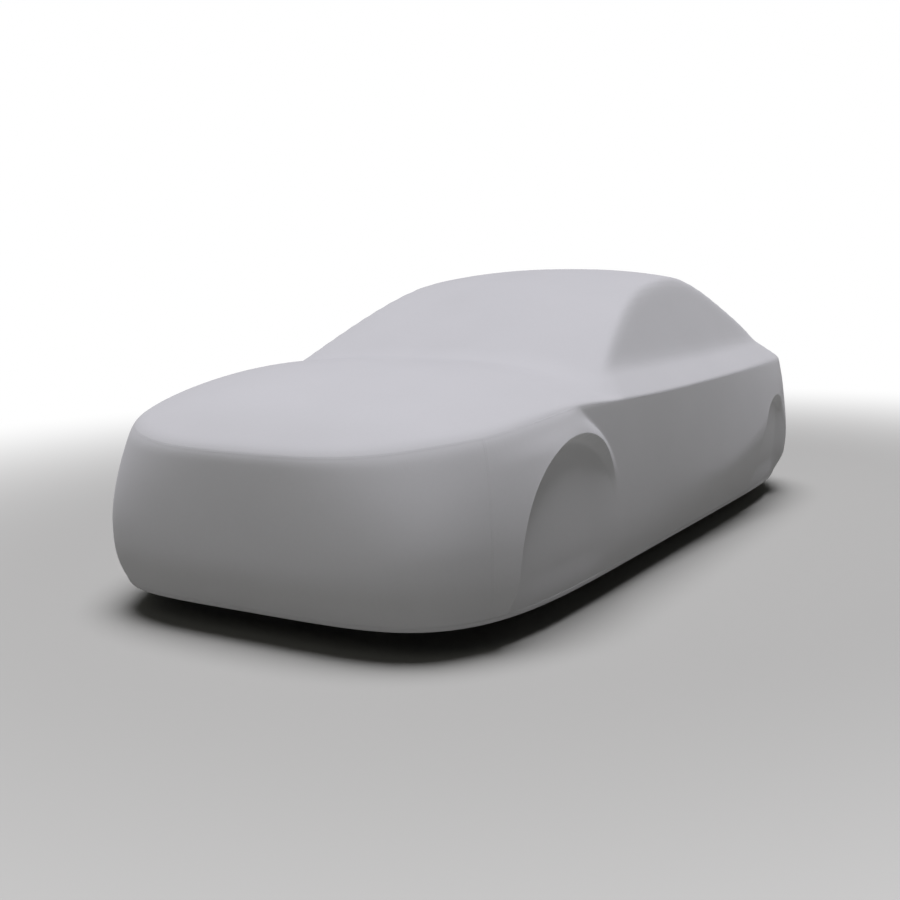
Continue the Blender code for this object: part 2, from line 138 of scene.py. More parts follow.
def along(column, y):
    """A column of SECTIONS at y: a cubic through its rows, with their neighbours' slope at each."""
    places, values = SECTIONS[:, Y], SECTIONS[:, column]
    slopes = np.gradient(values, places)
    y = np.clip(y, places[0], places[-1])
    k = np.clip(np.searchsorted(places, y, side="right") - 1, 0, len(places) - 2)
    span = places[k + 1] - places[k]
    s = (y - places[k]) / span
    start = (1 + 2 * s) * (1 - s) ** 2 * values[k] + s * (1 - s) ** 2 * span * slopes[k]
    end = s * s * (3 - 2 * s) * values[k + 1] + s * s * (s - 1) * span * slopes[k + 1]
    return start + end


print("shoulder at the middle of the side: %.3f m" % along(SHOULDER_Z, WIDEST_Y))

# %% [markdown]
# ## The plan outline
#
# Seen from above, the skirt is a long box with soft corners. A superellipse draws that: a power of 2
# gives an ellipse, and higher powers square it off. Two quarters of them, one for the nose end and one
# for the tail end, meet where the cover is widest. Points are spread by length, so that `u` is a share
# of the way round from the middle of the nose (0) to the middle of the tail (1). The front corners are
# rounder at the shoulder than at the belly, so there are two outlines, and the skirt goes from one to
# the other as it rises.

# %% Plan outline


def stretch(unit_y, nose_y, tail_y):
    """Unit outline, -1 to 1, to places along the cover."""
    return WIDEST_Y + unit_y * np.where(unit_y < 0, WIDEST_Y - nose_y, tail_y - WIDEST_Y)


def quarter_pair(front, rear, steps=4001):
    """x = sin(a)^(2/p) and y = -cos(a)^(2/q) for the nose end, and the like for the tail end."""
    angle = np.linspace(0, np.pi / 2, steps)
    x = np.append(np.sin(angle) ** (2 / front[0]), np.cos(angle[1:]) ** (2 / rear[0]))
    y = np.append(-(np.cos(angle) ** (2 / front[1])), np.sin(angle[1:]) ** (2 / rear[1]))
    return x, y


BELLY_OUTLINE = quarter_pair(BELLY_POWERS, REAR_POWERS)
SHOULDER_OUTLINE = quarter_pair(SHOULDER_POWERS, REAR_POWERS)


def length_round(unit_x, unit_y):
    """The length round the cover up to each point of a unit outline."""
    length = np.hypot(np.diff(unit_x * HALF_WIDTH), np.diff(stretch(unit_y, NOSE_Y, TAIL_Y)))
    return np.append(0, np.cumsum(length))


LENGTH_ROUND = length_round(*BELLY_OUTLINE)
HALF_ROUND = LENGTH_ROUND[-1]  # the length once round one half, in metres


def outline(u, lean=0.0):
    """The unit outline's x and y at the share u of its length. `lean` is 0 at the belly and 1 at the
    shoulder, and the points between lie on a straight line from the one outline to the other."""
    low = [np.interp(u * HALF_ROUND, LENGTH_ROUND, column) for column in BELLY_OUTLINE]
    high = [np.interp(u * HALF_ROUND, LENGTH_ROUND, column) for column in SHOULDER_OUTLINE]
    return [a + (b - a) * lean for a, b in zip(low, high)]


print("once round the hem: %.2f m" % (2 * HALF_ROUND))

# %% [markdown]
# ## The skirt
#
# Stretched cloth on a rounded body is never upright: it leans in above the belly and tucks under below
# it, most of all at the tail. Both are a power of the distance from the belly, so the wall starts upright
# there and curves away smoothly. It could be lofted from drawn curves, but with a formula every column
# of the mesh gets its own exact shape from a few numbers.

# %% Skirt


def lean_at(v):
    """The share of the lean that is reached at the share v of the skirt's height."""
    return np.clip((v - BELLY) / (1 - BELLY), 0, 1) ** LEAN_POWER


def inset(v, where):
    """How far the skirt stands inside its widest outline, at the share v of its height."""
    below = np.clip((BELLY - v) / BELLY, 0, 1) ** TUCK_POWER
    return TUCK[where] * below + LEAN[where] * lean_at(v)


def skirt(u, v):
    """The plan outline, drawn in by the inset, from the hem (v 0) up to the shoulder (v 1)."""
    unit_x, unit_y = outline(u, lean_at(v))
    x = unit_x * (HALF_WIDTH - inset(v, "side"))
    y = stretch(unit_y, NOSE_Y + inset(v, "nose"), TAIL_Y - inset(v, "tail"))
    hem = along(HEM_Z, y)
    return x, y, hem + (along(SHOULDER_Z, y) - hem) * v


print("skirt height at the nose: %.3f m" % (SECTIONS[0, SHOULDER_Z] - SECTIONS[0, HEM_Z]))

# %% [markdown]
# ## The decks and the cabin
#
# The top is a height above each place in plan. The decks swell from the shoulder to a crown on the centre
# line. The cabin is what is left when four surfaces cut each other: a domed roof, a slope in front, a
# slope behind, and a side that starts as a gentle shelf and then rises. Taking the lower of two heights
# with a round edge is what cloth does over a hard corner, and taking the higher of cabin and deck gives
# the hollow where they meet.

# %% Decks and cabin
CROWNS = ((NOSE_Y, 0.191), (0.30, 0.139), (1.50, 0.126), (3.20, 0.165))  # (place, height)
CROWN_POWER = 2.8
ROOF = {"z": 1.352, "y": 2.13, "fall_front": 0.127, "fall_rear": 0.068, "fall_across": 0.148}
ROOF_POWER = BOW_POWER = 2.3
FRONT_SLOPE = {"z": 0.95, "y": 0.53, "rise": 0.463, "bow": 0.344}
BACK_SLOPE = {"z": 0.96, "y": 3.405, "rise": -0.334, "bow": 0.552}
SHELF = {"rise": 0.85, "width": 0.13}
SIDE_SLOPE = {"rise": 2.2}
ROOF_ROUND, SIDE_ROUND, SHELF_ROUND = 0.10, 0.042, 0.03
FOOT_ROUND, FOOT_FULL = 0.05, 0.10  # the hollow, and how far inside the shoulder it is whole
CENTRE_LINE = (NOSE_Y + 0.35, TAIL_Y - 0.30)  # where the lines of one u end on the centre line
CLOTH = 0.002
HELD_AT = np.array([0.0, ROOF["y"], ROOF["z"] - CLOTH])  # the origin, on the roof's underside


def inside_shoulder(x, y):
    """0 at the middle of the deck and 1 on the shoulder, by the outline's own formula."""
    ahead = np.clip((WIDEST_Y - y) / (WIDEST_Y - NOSE_Y - LEAN["nose"]), 0, None)
    behind = np.clip((y - WIDEST_Y) / (TAIL_Y - WIDEST_Y - LEAN["tail"]), 0, None)
    across = np.abs(x) / (HALF_WIDTH - LEAN["side"])
    front = (across ** SHOULDER_POWERS[0] + ahead ** SHOULDER_POWERS[1]) ** (1 / SHOULDER_POWERS[0])
    rear = (across ** REAR_POWERS[0] + behind ** REAR_POWERS[1]) ** (1 / REAR_POWERS[0])
    return np.clip(np.where(y < WIDEST_Y, front, rear), 0, 1)


def deck_height(x, y):
    """The shoulder's height, and a crown that is whole on the centre line and 0 at the shoulder."""
    crown = CROWNS[0][1]
    for (start, low), (end, high) in zip(CROWNS, CROWNS[1:]):
        crown = crown + (high - low) * ease(start, end, y)
    return along(SHOULDER_Z, y) + crown * (1 - inside_shoulder(x, y) ** CROWN_POWER)


def slope_height(slope, x, y):
    """A plane that rises along Y and falls away to both sides."""
    bow = slope["bow"] * np.abs(x) ** BOW_POWER
    return slope["z"] + slope["rise"] * (y - slope["y"]) - abs(slope["rise"]) * bow


def cabin_height(x, y, inside):
    """The lowest of the roof, the two slopes and the side, with round edges between them."""
    from_top = y - ROOF["y"]
    fall = np.where(from_top < 0, ROOF["fall_front"], ROOF["fall_rear"])
    roof = ROOF["z"] - fall * from_top**2 - ROOF["fall_across"] * np.abs(x) ** ROOF_POWER
    shoulder = along(SHOULDER_Z, y)
    shelf = shoulder + SHELF["rise"] * inside
    side = shoulder + SHELF["rise"] * SHELF["width"] + SIDE_SLOPE["rise"] * (inside - SHELF["width"])
    side = upper_of(side, shelf, SHELF_ROUND)
    height = lower_of(roof, slope_height(FRONT_SLOPE, x, y), ROOF_ROUND)
    height = lower_of(height, slope_height(BACK_SLOPE, x, y), ROOF_ROUND)
    return lower_of(height, side, SIDE_ROUND)


def centre_line_y(u):
    """Where the line of one u meets the centre line."""
    return CENTRE_LINE[0] + (CENTRE_LINE[1] - CENTRE_LINE[0]) * u


def top(u, w):
    """Straight across in plan from the shoulder (w 0) to the centre line (w 1), at the top's height."""
    unit_x, unit_y = outline(u, 1.0)
    edge_y = stretch(unit_y, NOSE_Y + LEAN["nose"], TAIL_Y - LEAN["tail"])
    x = unit_x * (HALF_WIDTH - LEAN["side"]) * (1 - w)
    y = edge_y * (1 - w) + centre_line_y(u) * w
    inside = (HALF_WIDTH - LEAN["side"]) * (1 - inside_shoulder(x, y))
    foot = FOOT_ROUND * np.clip(inside / FOOT_FULL, 0.01, 1)
    return x, y, upper_of(deck_height(x, y), cabin_height(x, y, inside), foot)


print("roof over the origin: %.3f m" % (top(np.array([0.5]), np.array([1.0]))[2][0] - HELD_AT[2]))

# %% [markdown]
# ## The arches
#
# Over each arch the cloth is pushed out by a lip and sinks a little inside it. The lip is a circle's arc.
# Towards the nose the push dies away slowly outside it, as a soft swell. Over the top and towards the
# tail it ends at a ridge, which comes down from the shoulder and closes in on the lip, with a narrow
# light band between them. A sculpted arch could look the same from one side, but a formula gives both
# sides of the cover exactly the same lip.
#
# Ahead of the rear arch the whole side swells out a little to a crest that climbs towards the tail.
# The swell is nothing at the hem and at the shoulder, so it changes the shading and not the outline below.

# %% Arches
ARCHES = (
    {
        "y": 0.045, "z": 0.293, "r": 0.432, "lip": 0.040,
        "flare": 0.045, "hollow": 0.014, "tail_flare": 0.0, "band": 0.042,
    },
    {
        "y": 2.90, "z": 0.220, "r": 0.415, "lip": 0.045,
        "flare": 0.006, "hollow": 0.024, "tail_flare": 0.030, "band": 0.50,
    },
)
FLARE_REACH = {"over": 0.18, "nose": 0.20}
# A lip's turn is its angle from straight up, in radians, + towards the tail.
NOSE_TURN = (-1.3, -0.3)  # the flare's reach goes from nose to over between these turns.
RIDGE_TURN = (-0.45, 0.12)  # From here on it ends at a ridge instead, as far out as the arch's band
RIDGE_RISE, RIDGE_FADE = 0.177, 0.12  # and more at its start, by rise * exp(-turn / fade).
RIDGE_POWER = 1.5  # The push on the way to the ridge is 1 - share ** power,
RIDGE_ROUND = 0.006  # with a round foot.
TAIL_TURN = (-0.25, 0.9)  # The flare loses this share between these turns,
TAIL_LOSS = 0.45
LIP_END_TURN = (0.45, 1.25)  # and goes over to the tail_flare between these.
HOLLOW_END = (0.3, 1.0)  # the hollow goes over to it between these shares of the radius
# Ahead of the rear arch the side swells out to a crest, which rises towards the tail.
SWELL = 0.045
SWELL_START = (0.8, 2.4)  # The swell grows between these places
SWELL_END = (2.6, 3.5)  # and ends between these.
CREST = (0.34, 0.45)  # The crest's share of the skirt's height is low + rise * share ** power,
CREST_PLACES = (1.8, 3.2)  # for the share of the way between these places.
CREST_POWER = 1.5
CREST_ROUND = 0.25
RELIEF_WIDTH = (0.86, 0.985)  # the relief is on the side alone: shares of the outline's width,
RELIEF_ABOVE_HEM = (0.0, 0.2)  # shares of the skirt's height where it grows,
RELIEF_BELOW_SHOULDER = 0.86  # and from where it falls evenly to nothing at the shoulder,
RELIEF_ROUND = 0.3  # after a round start, as a share of that fall


def arch_relief(y, z):
    """How far the arches push the side out: a lip that fades away, and a shallow hollow inside it."""
    push = 0
    for arch in ARCHES:
        behind = y - arch["y"]
        above = np.clip(z - arch["z"], 0, None)
        beyond = np.hypot(behind, above) - arch["r"]
        turn = np.arctan2(behind, above)
        facing = ease(*TAIL_TURN, turn)
        lip = arch["flare"] * (1 - TAIL_LOSS * facing)
        lip = lip + (arch["tail_flare"] - lip) * ease(*LIP_END_TURN, turn)
        reach = FLARE_REACH["nose"]
        reach = reach + (FLARE_REACH["over"] - reach) * ease(*NOSE_TURN, turn)
        outside = np.clip(beyond, 0, None)
        soft = np.exp(-outside / reach)
        band = arch["band"] + RIDGE_RISE * np.exp(-turn / RIDGE_FADE)
        ridged = upper_of(1 - (outside / band) ** RIDGE_POWER, 0 * band, RIDGE_ROUND / band)
        flare = lip * (soft + (ridged - soft) * ease(*RIDGE_TURN, turn))
        rise = ease(-arch["lip"], 0, beyond)
        tail_share = ease(*HOLLOW_END, behind / arch["r"])
        inside = arch["tail_flare"] * tail_share - arch["hollow"] * (1 - tail_share)
        push = push + np.where(beyond > 0, flare, lip * rise + inside * (1 - rise))
    return push


def rear_swell(y, v):
    """How far the side swells out ahead of the rear arch: most on its crest, 0 at hem and shoulder."""
    share = np.clip((y - CREST_PLACES[0]) / (CREST_PLACES[1] - CREST_PLACES[0]), 0, 1)
    crest = CREST[0] + CREST[1] * share**CREST_POWER
    amount = SWELL * ease(*SWELL_START, y) * (1 - ease(*SWELL_END, y))
    return amount * np.clip(lower_of((1 - v) / (1 - crest), v / crest, CREST_ROUND), 0, None)


front_arch = ARCHES[0]
lip_out = arch_relief(front_arch["y"], front_arch["z"] + front_arch["r"] + 0.001)
print("lip over the front arch stands out %.0f mm" % (1000 * lip_out))

# %% [markdown]
# ## One surface for the whole cloth
#
# Skirt and top meet in a sharp corner, but cloth over a shoulder is round, tighter along the sides and
# very soft over the front corners. A weighted mean of the sharp surface, taken a short way down and up
# from each place, rounds the corner by exactly that way. The arches' relief comes last, so that the mean
# doesn't blur its lip. `t` is 0 at the hem, 1 at the shoulder and 2 on the centre line.

# %% The whole surface
FOLD_STEPS = 15
FOLD_END = 2.6  # the rounding has died away at this many half widths of the fold


def sharp_surface(u, t):
    """Skirt below t = 1 and top above it."""
    below = skirt(u, np.clip(t, 0, 1))
    above = top(u, np.clip(t - 1, 0, 1))
    return np.array([np.where(t < 1, low, high) for low, high in zip(below, above)])


def lengths_at(u):
    """How long one unit of t is below the shoulder and above it, in metres, and the fold's half width."""
    unit_x, unit_y = outline(u)
    y = stretch(unit_y, NOSE_Y, TAIL_Y)
    below = along(SHOULDER_Z, y) - along(HEM_Z, y)
    above = np.hypot(unit_x * HALF_WIDTH, y - centre_line_y(u))
    return below, above, along(FOLD, y)


def from_shoulder(u, distance):
    """The t that lies so far above the shoulder (+) or below it (-), in metres."""
    below, above, _ = lengths_at(u)
    return 1 + distance / np.where(distance < 0, below, above)


def surface(u, t):
    """The mean of the sharp surface over a short way down and up, weighted by cos squared."""
    u, t = np.broadcast_arrays(u, t)
    below, above, reach = lengths_at(u)
    from_fold = (t - 1) * np.where(t < 1, below, above)
    reach = reach * (1 - ease(1.0, FOLD_END, np.abs(from_fold) / reach))
    steps = np.linspace(-1, 1, FOLD_STEPS + 2)[1:-1]
    weights = np.cos(steps * np.pi / 2) ** 2
    points = 0
    for step, weight in zip(steps, weights / weights.sum()):
        points = points + weight * sharp_surface(u, from_shoulder(u, from_fold + step * reach))
    x, y, z = points
    on_width = ease(*RELIEF_WIDTH, outline(u)[0])
    on_side = on_width * ease(*RELIEF_ABOVE_HEM, t)
    falling = np.clip((1 - t) / (1 - RELIEF_BELOW_SHOULDER), 0, None)
    on_side = on_side * lower_of(1, falling, RELIEF_ROUND)
    x = x + on_side * arch_relief(y, z) + on_width * rear_swell(y, np.clip(t, 0, 1))
    return np.stack([x, y, z], axis=-1) - HELD_AT


SMALL_STEP = 2e-4
NO_LENGTH = 1e-12  # a normal shorter than this has no direction


def normal_at(u, t):
    """The outward normal: the cross product of the surface's slopes along u and along t."""
    along_u = surface(np.clip(u + SMALL_STEP, 0, 1), t) - surface(np.clip(u - SMALL_STEP, 0, 1), t)
    along_t = surface(u, np.clip(t + SMALL_STEP, 0, 2)) - surface(u, np.clip(t - SMALL_STEP, 0, 2))
    normal = np.cross(along_u, along_t)
    u, t = np.broadcast_arrays(u, t)
    normal[(t > 2 - SMALL_STEP) | (u < SMALL_STEP) | (u > 1 - SMALL_STEP), 0] = 0
    length = np.linalg.norm(normal, axis=-1, keepdims=True)
    upward = np.array([0.0, 0.0, 1.0])
    return np.where(length > NO_LENGTH, normal / np.maximum(length, NO_LENGTH), upward)


middle = normal_at(np.array([0.5]), np.array([0.5]))[0]
print("normal at the middle of the side:", middle.round(3))

# %% [markdown]
# ## A panel as a thin closed sheet
#
# Cloth has two faces. Each panel gets a grid for its outer face and one for its inner face, a cloth's
# thickness behind it, and a narrow strip along the cut edge joins them. Where a grid folds onto itself on
# the centre line, points that coincide are merged, so no slit stays open. Solidify could add the inner
# face, but it can't make the bead of the hem, and one pair of grids makes both.

# %% From grids to a mesh
SHARP_ANGLE = math.radians(50)  # a sharper edge than this is shaded as an edge
MERGE_STEPS = 1e5  # points that round to the same of this many steps a metre are one


def make_mesh(name, points, faces, places):
    """A mesh from arrays. A face that names its last point twice is a triangle. `places` is each
    point's place on the cloth in metres, kept as its UV map."""
    used, faces = np.unique(faces, return_inverse=True)
    faces = faces.reshape(-1, 4)
    keep = np.ones(faces.shape, dtype=bool)
    keep[:, 3] = faces[:, 2] != faces[:, 3]
    corners = faces[keep]
    sizes = keep.sum(axis=1)
    mesh = bpy.data.meshes.new(name)
    mesh.vertices.add(len(used))
    mesh.vertices.foreach_set("co", points[used].astype(np.float32).reshape(-1))
    mesh.loops.add(len(corners))
    mesh.loops.foreach_set("vertex_index", corners.astype(np.int32))
    mesh.polygons.add(len(faces))
    mesh.polygons.foreach_set("loop_start", (np.cumsum(sizes) - sizes).astype(np.int32))
    mesh.update(calc_edges=True)
    layer = mesh.uv_layers.new(name="cloth_metres")
    layer.uv.foreach_set("vector", places[used][corners].astype(np.float32).reshape(-1))
    mesh.shade_smooth()
    mesh.set_sharp_from_angle(angle=SHARP_ANGLE)
    piece = bpy.data.objects.new(name, mesh)
    bpy.context.scene.collection.objects.link(piece)
    return piece


def grid_faces(rows, columns):
    """Quads of a grid whose points are counted row by row."""
    index = np.arange(rows * columns).reshape(rows, columns)
    corners = [index[:-1, :-1], index[:-1, 1:], index[1:, 1:], index[1:, :-1]]
    return np.stack(corners, axis=-1).reshape(-1, 4)


def merged(points, faces):
    """The faces with each point's first twin in its place. A quad that this pinches becomes a triangle,
    with its spare corner last, and one that it closes up is dropped."""
    key = np.round(points * MERGE_STEPS).astype(np.int64)
    _, first, twin = np.unique(key, axis=0, return_index=True, return_inverse=True)
    faces = first[twin.reshape(-1)][faces]
    for _ in range(3):
        pinched = (faces == np.roll(faces, -1, axis=1)).any(axis=1) & (faces[:, 2] != faces[:, 3])
        faces = np.where(pinched[:, None], np.roll(faces, 1, axis=1), faces)
    a, b, c, d = faces.T
    return faces[(a != b) & (b != c) & (c != a) & (d != a) & (d != b)]


def open_edges(faces):
    """The edges that only one face has, in that face's direction."""
    edges = np.stack([faces, np.roll(faces, -1, axis=1)], axis=-1).reshape(-1, 2)
    edges = edges[edges[:, 0] != edges[:, 1]]
    _, way, count = np.unique(np.sort(edges, axis=1), axis=0, return_inverse=True, return_counts=True)
    return edges[count[way.reshape(-1)] == 1]


def turned(faces):
    """The same faces seen from behind."""
    four = faces[:, [1, 0, 3, 2]]
    three = faces[:, [1, 0, 2, 2]]
    return np.where((faces[:, 2] == faces[:, 3])[:, None], three, four)


def closed_sheet(name, outer, inner, places):
    """The outer face, the inner face turned round, and a strip along the open edge."""
    count = outer.shape[0] * outer.shape[1]
    points = np.concatenate([outer.reshape(-1, 3), inner.reshape(-1, 3)])
    front = merged(points[:count], grid_faces(*outer.shape[:2]))
    a, b, c = (points[front[:, k]] for k in range(3))
    outward = points[front[:, 0]] - points[front[:, 0] + count]
    if (np.cross(b - a, c - a) * outward).sum() < 0:
        front = turned(front)
    start, end = open_edges(front).T
    strip = np.stack([end, start, start + count, end + count], axis=-1)
    faces = np.concatenate([front, turned(front) + count, strip])
    return make_mesh(name, points, faces, np.tile(places.reshape(-1, 2), (2, 1)))


# %% [markdown]
# ## Rows and columns
#
# The mesh needs small cells where the cloth turns fast and may have larger ones elsewhere. So rows are
# set in metres: close together over the fold, the seam and the bead of the hem, and then at an even
# pitch. The sides have cells of 9 mm, because the lips of the arches are on them. A lip crosses such a
# grid in steps, so the crossings next to it are moved onto it, which makes it a clean arc without a
# finer grid.

# %% Grid
FRONT_SEAM = 0.164 * HALF_ROUND  # the seams up the skirt, in metres round from the nose
REAR_SEAM = 0.810 * HALF_ROUND
LAP = 0.009  # how far one panel laps over the next at a seam
LAP_RISE = 0.0003  # how far the lap's outer face stands out
LAP_CLOTH = 0.0005  # its thickness
LAP_FALL = (0.0005, 0.0105)  # inside the seam line, where the lap goes over to plain cloth
LAP_CROSSING = 0.003  # a lap's end fades over this, where another cloth goes over it
UNDER_LAP = 0.001  # how far the panel below a lap stops short of the seam line
HEM_BAND = 0.020  # the height of the turned hem
HEM_STEP = (0.017, 0.021)  # from the bead to plain cloth
HEM_HALF = 0.0035  # half the thickness of its bead
EDGE_HALF = 0.0004  # and of its lower edge

DRAW_ROUNDS = 2
DRAW = (0.0055, 0.026)  # the grid's crossings move onto an arch's lip within these distances,
DRAW_ABOVE_HEM, DRAW_BELOW_SHOULDER = (0.08, 0.2), (0.92, 0.97)  # between these shares of the height,
DRAW_INSIDE_SEAM = (0.002, 0.022)  # and not at the panel's own seams, which would part

NEAR_LAP = LAP + np.array([-LAP, -0.006, -0.003, -0.001, 0.0005, 0.003, 0.0055, 0.008, 0.0105, 0.014])
NEAR_EDGE = np.array([0.0, 0.004, 0.009])
NEAR_FOLD = np.array([0.0, 0.004, 0.008, 0.012, 0.017, 0.023, 0.030, 0.038, 0.047])
NEAR_HEM = np.array([0.0, 0.0004, 0.0012, 0.0024, 0.004, 0.009, 0.014, 0.017, 0.0185, 0.020, 0.0215, 0.026])
NEAR_FOLD_OVER = NEAR_FOLD[3:] + 0.003  # above the fold the lap's own rows come first
SIDE_PITCH, END_PITCH, TOP_PITCH = 0.009, 0.012, 0.018
ROWS_OVER_TOP = 48


def spaced(start, end, pitch, near_start, near_end):
    """Places from start to end, in metres: the near ones at either end, and an even pitch between."""
    first, last = start + near_start, (end - near_end)[::-1]
    count = max(1, round((last[0] - first[-1]) / pitch))
    return np.concatenate([first, np.linspace(first[-1], last[0], count + 1)[1:-1], last])


def skirt_rows(u, pitch):
    """t over the skirt, one row for each place: metres near the hem and the shoulder, shares between."""
    below = lengths_at(u)[0]
    low = NEAR_HEM[:, None] / below
    high = 1 - (UNDER_LAP + NEAR_FOLD[::-1, None]) / below
    count = round(float((below.max() - NEAR_HEM[-1] - NEAR_FOLD[-1]) / pitch))
    share = np.linspace(0, 1, count + 1)[1:-1, None]
    return np.concatenate([low, low[-1] + (high[0] - low[-1]) * share, high])


def top_rows(u, count):
    """t over one half of the top: metres near the shoulder, and even shares up to the centre line."""
    metres = np.concatenate([NEAR_LAP - LAP, NEAR_FOLD_OVER])
    low = from_shoulder(u, metres[:, None])
    share = np.linspace(0, 1, count + 1)[1:, None]
    return np.concatenate([low, low[-1] + (2 - low[-1]) * share])


def inside_seams(u):
    """How far a place on a side panel is inside the nearer of its two seams, in metres."""
    return np.minimum(u * HALF_ROUND - FRONT_SEAM, REAR_SEAM - u * HALF_ROUND)


def drawn_to_lips(u, t):
    """Moves the grid's crossings near an arch's lip along its radius: those closer than the first
    distance onto the lip, and those past the second one not at all."""
    u, t = (np.array(a) for a in np.broadcast_arrays(u, t))
    for arch in ARCHES:
        for _ in range(DRAW_ROUNDS):
            _, y, z = np.moveaxis(surface(u, t) + HELD_AT, -1, 0)
            behind, above = y - arch["y"], np.clip(z - arch["z"], 0, None)
            out = np.hypot(behind, above)
            pull = np.clip((DRAW[1] - np.abs(out - arch["r"])) / (DRAW[1] - DRAW[0]), 0, 1)
            pull = pull * ease(*DRAW_ABOVE_HEM, t) * (1 - ease(*DRAW_BELOW_SHOULDER, t))
            pull = pull * ease(*DRAW_INSIDE_SEAM, inside_seams(u))
            share = pull * (arch["r"] / np.maximum(out, DRAW[1]) - 1)
            slope_y = (surface(u + SMALL_STEP, t) - surface(u, t))[..., 1] / SMALL_STEP
            slope_z = (surface(u, t + SMALL_STEP) - surface(u, t))[..., 2] / SMALL_STEP
            u = u + share * behind / np.where(pull > 0, slope_y, 1)
            t = t + share * above / np.where(pull > 0, slope_z, 1)
    return u, t


side_u = spaced(FRONT_SEAM - LAP, REAR_SEAM + LAP, SIDE_PITCH, NEAR_LAP, NEAR_LAP) / HALF_ROUND
side_t = skirt_rows(side_u, SIDE_PITCH)
print("a side panel has", side_u.size, "columns and", len(side_t), "rows")

# %% [markdown]
# ## Seams and hem
#
# The panels are joined with a flat felled seam, as on outdoor clothing: one edge laps over the next and is
# sewn down with two rows of stitches, so it lies flat on its inner side and sheds rain. The side panels
# lap over the nose and tail panels, and the top laps over them all. The hem is turned in over a flat
# elastic and makes a round bead. Both are heights above the smooth surface, added along its normal.

# %% Heights over the smooth surface


def lap_rise(inside):
    """The lap's rise: whole up to the seam line, and gone a little way inside it (metres, + inside)."""
    return LAP_RISE * (1 - ease(*LAP_FALL, inside))


def hem_half(height):
    """Half the cloth's thickness: a bead with a round lower edge, then plain cloth above the band."""
    edge = 1 - np.clip(height / HEM_HALF, 0, 1)
    bead = HEM_HALF + (CLOTH / 2 - HEM_HALF) * ease(*HEM_STEP, height)
    return np.maximum(bead * np.sqrt(1 - edge**2), EDGE_HALF)


def side_lap_over(u):
    """How far a side panel's lap lifts the top where it crosses over it."""
    rise = 0
    for seam, way in ((FRONT_SEAM, 1), (REAR_SEAM, -1)):
        inside = way * (u * HALF_ROUND - seam)
        rise = rise + lap_rise(inside) * ease(-LAP - LAP_CROSSING, -LAP, inside)
    return rise


def both_faces(u, t, rise, thick):
    """Outer points and inner points, for one half of a panel."""
    points, normals = surface(u, t), normal_at(u, t)
    outer = points + rise[..., None] * normals
    inner = outer - thick[..., None] * normals
    return outer, inner


MIRROR = np.array([-1.0, 1.0, 1.0])


def mirrored(half, axis):
    """Joins a half to its mirror image on the side of its last row or column, which lies on X = 0."""
    half = np.moveaxis(half, axis, 0).copy()
    half[-1, ..., 0] = 0
    other = half * MIRROR
    return np.moveaxis(np.concatenate([half, other[-2::-1]]), 0, axis)


print("bead of the hem: %.1f mm thick" % (2000 * hem_half(0.01)))

# %% [markdown]
# ## Stitches
#
# A row of stitches is a row of short loops of thread, each a little apart from the next. Thousands of
# them are cheap if each is only a slim double pyramid of eight faces. They are all worked out at once:
# places at an even pitch along the seam, and six corners from the directions along, across and out. Real
# ones are 3 mm long. These are drawn at a pitch of 5 mm, which is as fine as shows from a step away.

# %% Stitches
STITCH_PITCH, STITCH_LONG, STITCH_WIDE, STITCH_HIGH = 0.005, 0.0036, 0.0009, 0.0005


def stitch_points(line, normals):
    """Six corners of each stitch along a line of points, as an array (stitch, corner, 3)."""
    length = np.append(0, np.cumsum(np.linalg.norm(np.diff(line, axis=0), axis=1)))
    places = np.arange(STITCH_PITCH / 2, length[-1], STITCH_PITCH)
    ends = [places - STITCH_LONG / 2, places + STITCH_LONG / 2]
    start, end = (np.stack([np.interp(e, length, line[:, k]) for k in range(3)], -1) for e in ends)
    out = np.stack([np.interp(places, length, normals[:, k]) for k in range(3)], -1)
    ahead = end - start
    across = np.cross(ahead, out)
    across = across / np.linalg.norm(across, axis=1, keepdims=True) * (STITCH_WIDE / 2)
    middle = (start + end) / 2
    high = out * STITCH_HIGH
    return np.stack([start, end, middle - across, middle + across, middle + high, middle - high], 1)


STITCH_FACES = np.array(
    [(0, 2, 4), (2, 1, 4), (1, 3, 4), (3, 0, 4), (2, 0, 5), (1, 2, 5), (3, 1, 5), (0, 3, 5)]
)


def make_stitches(name, rows):
    """One mesh from several rows of stitches."""
    corners = np.concatenate(rows)
    faces = STITCH_FACES[:, [0, 1, 2, 2]] + 6 * np.arange(len(corners))[:, None, None]
    points = corners.reshape(-1, 3)
    return make_mesh(name, points, faces.reshape(-1, 4), points[:, :2])


def stitch_row(u, t, rise):
    """A row of stitches on the outer face, for one half."""
    u, t, rise = np.broadcast_arrays(u, t, rise)
    normals = normal_at(u, t)
    return surface(u, t) + rise[..., None] * normals, normals


def on_both_sides(line, normals):
    """A half's row and its mirror image, as two sets of stitches."""
    return [stitch_points(line, normals), stitch_points(line * MIRROR, normals * MIRROR)]


print("stitches along a side: about", int((REAR_SEAM - FRONT_SEAM) / STITCH_PITCH))

# %% [markdown]
# ## The top
#
# The top is one cloth from shoulder to shoulder. Its grid runs up from one shoulder to the centre line
# and down to the other, so the cloth is unbroken over the middle. It laps over the skirt all round.

# %% Top panel
to_front = spaced(0.0, FRONT_SEAM + LAP, TOP_PITCH, NEAR_EDGE, NEAR_LAP)
to_rear = spaced(FRONT_SEAM + LAP, REAR_SEAM - LAP, TOP_PITCH, NEAR_EDGE, NEAR_EDGE)
to_tail = spaced(REAR_SEAM - LAP, HALF_ROUND, TOP_PITCH, NEAR_LAP, NEAR_EDGE)
top_u = np.concatenate([to_front, to_rear[1:], to_tail[1:]]) / HALF_ROUND
top_t = top_rows(top_u, ROWS_OVER_TOP)
top_u = np.broadcast_to(top_u, top_t.shape)


